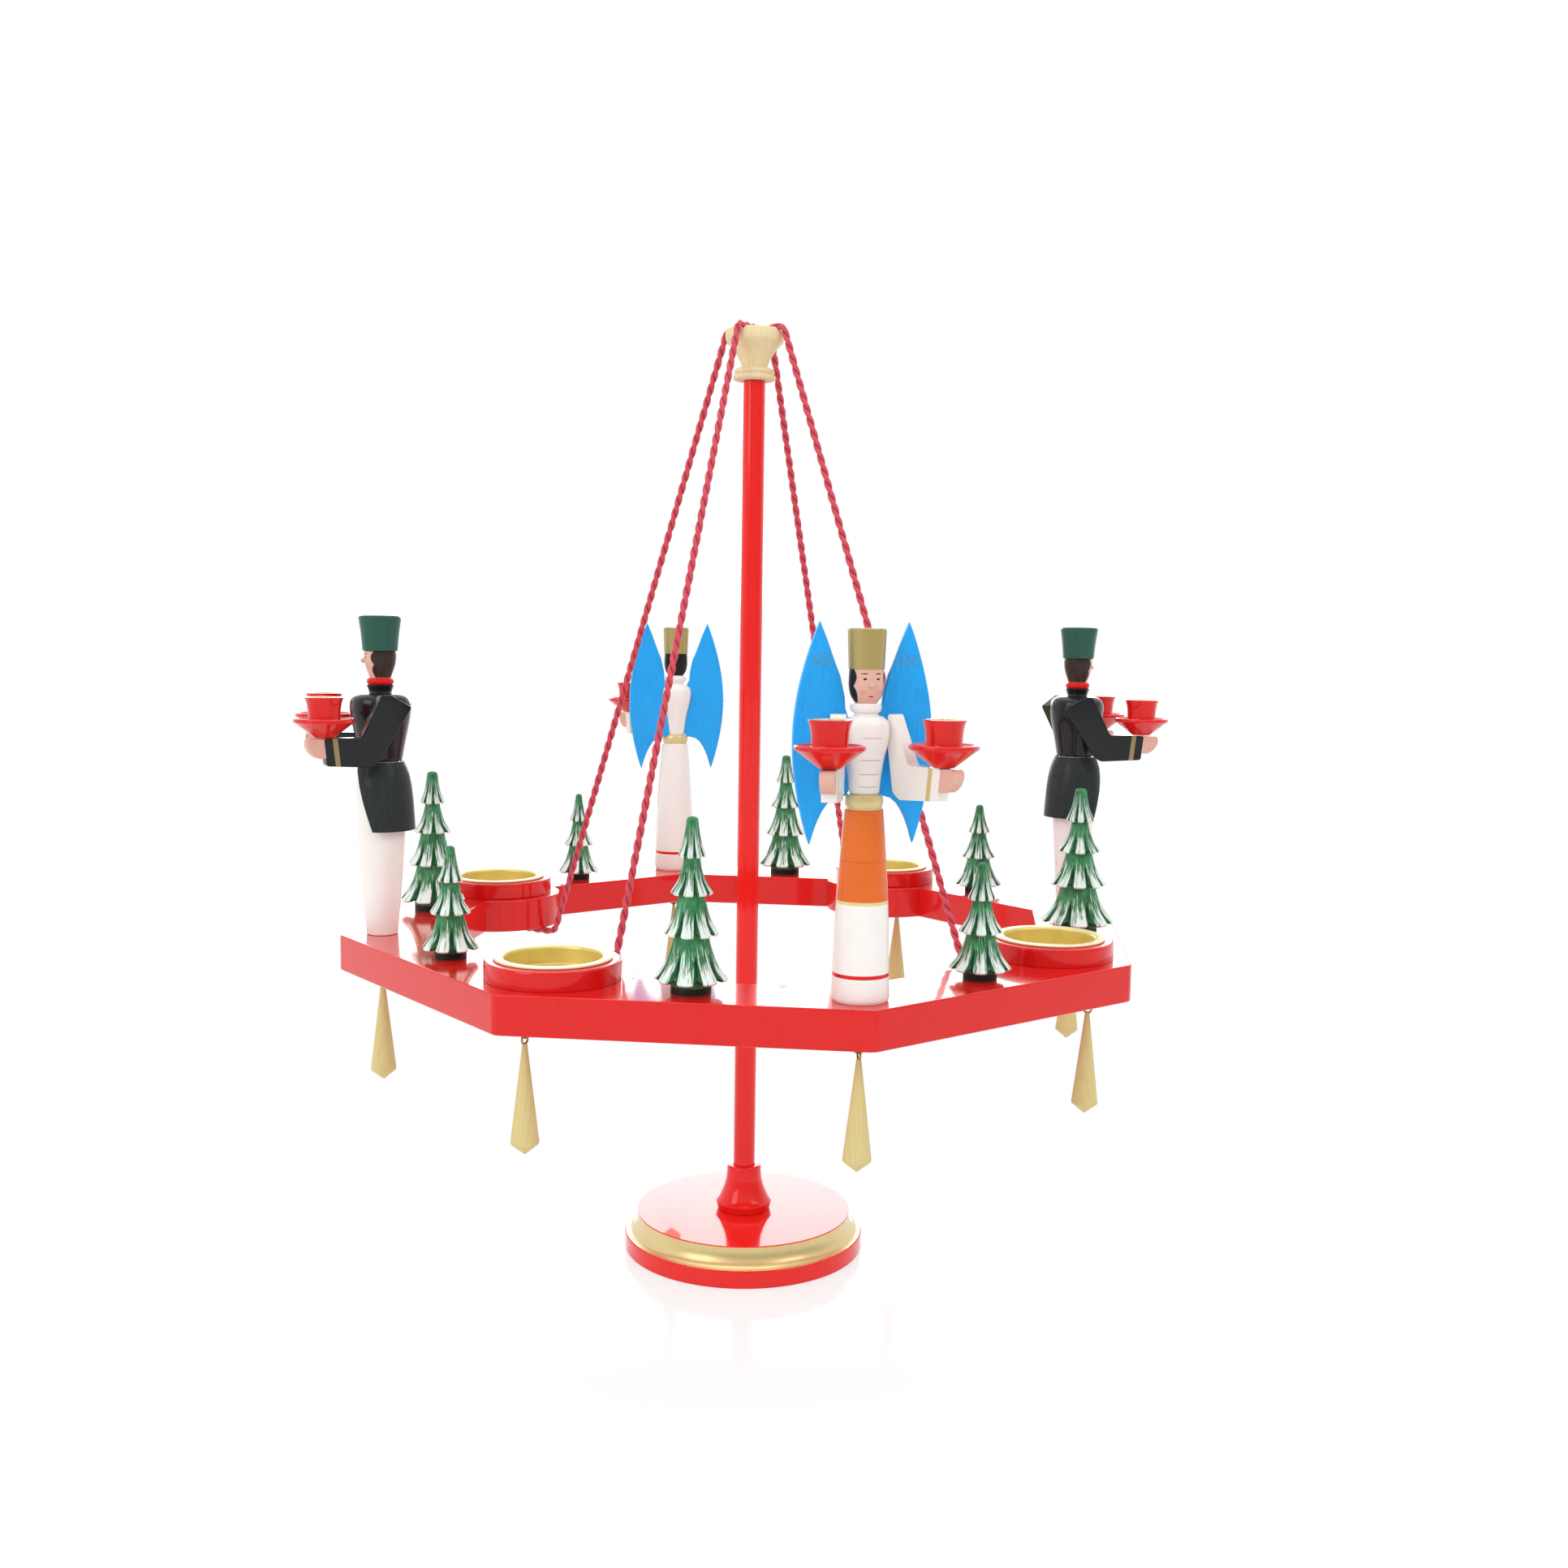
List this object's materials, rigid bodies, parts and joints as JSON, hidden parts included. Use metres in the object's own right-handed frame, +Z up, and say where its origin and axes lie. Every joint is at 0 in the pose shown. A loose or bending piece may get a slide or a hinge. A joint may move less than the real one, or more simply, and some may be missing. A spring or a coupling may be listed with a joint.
{
  "type": "advent wreath candle holder",
  "caption": "Octagonal board wreath hung by cords from a hub on a pole, with standing figures that hold candle bowls, tealight cups, fir trees and hanging drops.",
  "frame": {"origin": "centre of the base's underside, on the pole's axis", "axes": "+Z up along the pole, -Y towards the corner of the ring where the front angel stands, +X to the right-hand miner"},
  "size_m": [0.4378, 0.4398, 0.4652],
  "materials": {
    "red_lacquer": "gloss lacquer on wood",
    "bare_wood": "bare turned wood",
    "crimson_cord": "twisted cord",
    "brass": "bright brass",
    "fir_green": "green stain with white tips",
    "blue_lacquer": "satin lacquer",
    "black_lacquer": "gloss lacquer",
    "skin_paint": "satin paint",
    "green_lacquer": "satin lacquer",
    "white_lacquer": "gloss lacquer"
  },
  "bodies": {
    "stand": {"base_foot": "red_lacquer", "pole_collar": "red_lacquer", "pole": "red_lacquer"},
    "wreath": {"hub": "bare_wood", "octagon_ring": "red_lacquer", "suspension_cord_lower": "crimson_cord", "suspension_cord_upper": "crimson_cord", "tealight_holder_front_right": "red_lacquer", "tealight_holder_back_right": "red_lacquer", "tealight_holder_back_left": "red_lacquer", "tealight_holder_front_left": "red_lacquer", "tree_large_1": "fir_green", "tree_small_1": "fir_green", "tree_large_2": "fir_green", "tree_small_2": "fir_green", "tree_large_3": "fir_green", "tree_small_3": "fir_green", "tree_large_4": "fir_green", "tree_small_4": "fir_green", "miner_left_trousers": "white_lacquer", "miner_left_coat_tail": "black_lacquer", "miner_left_torso": "black_lacquer", "miner_left_head": "skin_paint", "miner_left_hat": "green_lacquer", "miner_left_bowl_left": "red_lacquer", "miner_left_bowl_right": "red_lacquer", "miner_right_trousers": "white_lacquer", "miner_right_coat_tail": "black_lacquer", "miner_right_torso": "black_lacquer", "miner_right_head": "skin_paint", "miner_right_hat": "green_lacquer", "miner_right_bowl_left": "red_lacquer", "miner_right_bowl_right": "red_lacquer", "angel_front_gown": "white_lacquer", "angel_front_torso": "white_lacquer", "angel_front_head": "skin_paint", "angel_front_wing_left": "blue_lacquer", "angel_front_wing_right": "blue_lacquer", "angel_front_bowl_left": "red_lacquer", "angel_front_bowl_right": "red_lacquer", "angel_back_gown": "white_lacquer", "angel_back_torso": "white_lacquer", "angel_back_head": "skin_paint", "angel_back_wing_left": "blue_lacquer", "angel_back_wing_right": "blue_lacquer", "angel_back_bowl_left": "red_lacquer", "angel_back_bowl_right": "red_lacquer"},
    "cup_front_right": {"tealight_cup_front_right": "brass"},
    "cup_back_right": {"tealight_cup_back_right": "brass"},
    "cup_back_left": {"tealight_cup_back_left": "brass"},
    "cup_front_left": {"tealight_cup_front_left": "brass"},
    "drop_body_front": {"drop_front": "bare_wood"},
    "drop_body_front_right": {"drop_front_right": "bare_wood"},
    "drop_body_right": {"drop_right": "bare_wood"},
    "drop_body_back_right": {"drop_back_right": "bare_wood"},
    "drop_body_back": {"drop_back": "bare_wood"},
    "drop_body_back_left": {"drop_back_left": "bare_wood"},
    "drop_body_left": {"drop_left": "bare_wood"},
    "drop_body_front_left": {"drop_front_left": "bare_wood"}
  },
  "joints": [
    {"name": "wreath_turn", "type": "hinge", "parent": "stand", "child": "wreath", "pos_m": [0, 0, 0.4377], "axis": [0, 0, 1], "continuous": true},
    {"name": "cup_front_right_lift", "type": "slide", "parent": "wreath", "child": "cup_front_right", "axis": [0, 0, 1], "range_m": [0, 0.03]},
    {"name": "cup_back_right_lift", "type": "slide", "parent": "wreath", "child": "cup_back_right", "axis": [0, 0, 1], "range_m": [0, 0.03]},
    {"name": "cup_back_left_lift", "type": "slide", "parent": "wreath", "child": "cup_back_left", "axis": [0, 0, 1], "range_m": [0, 0.03]},
    {"name": "cup_front_left_lift", "type": "slide", "parent": "wreath", "child": "cup_front_left", "axis": [0, 0, 1], "range_m": [0, 0.03]},
    {"name": "drop_front_swing", "type": "hinge", "parent": "wreath", "child": "drop_body_front", "pos_m": [0, -0.18, 0.1468], "axis": [1, 0, 0], "range_deg": [-60, 60]},
    {"name": "drop_front_right_swing", "type": "hinge", "parent": "wreath", "child": "drop_body_front_right", "pos_m": [0.12728, -0.12728, 0.1468], "axis": [0.7071, 0.7071, 0], "range_deg": [-60, 60]},
    {"name": "drop_right_swing", "type": "hinge", "parent": "wreath", "child": "drop_body_right", "pos_m": [0.18, 0, 0.1468], "axis": [0, 1, 0], "range_deg": [-60, 60]},
    {"name": "drop_back_right_swing", "type": "hinge", "parent": "wreath", "child": "drop_body_back_right", "pos_m": [0.12728, 0.12728, 0.1468], "axis": [-0.7071, 0.7071, 0], "range_deg": [-60, 60]},
    {"name": "drop_back_swing", "type": "hinge", "parent": "wreath", "child": "drop_body_back", "pos_m": [0, 0.18, 0.1468], "axis": [-1, 0, 0], "range_deg": [-60, 60]},
    {"name": "drop_back_left_swing", "type": "hinge", "parent": "wreath", "child": "drop_body_back_left", "pos_m": [-0.12728, 0.12728, 0.1468], "axis": [-0.7071, -0.7071, 0], "range_deg": [-60, 60]},
    {"name": "drop_left_swing", "type": "hinge", "parent": "wreath", "child": "drop_body_left", "pos_m": [-0.18, 0, 0.1468], "axis": [0, -1, 0], "range_deg": [-60, 60]},
    {"name": "drop_front_left_swing", "type": "hinge", "parent": "wreath", "child": "drop_body_front_left", "pos_m": [-0.12728, -0.12728, 0.1468], "axis": [0.7071, -0.7071, 0], "range_deg": [-60, 60]}
  ]
}
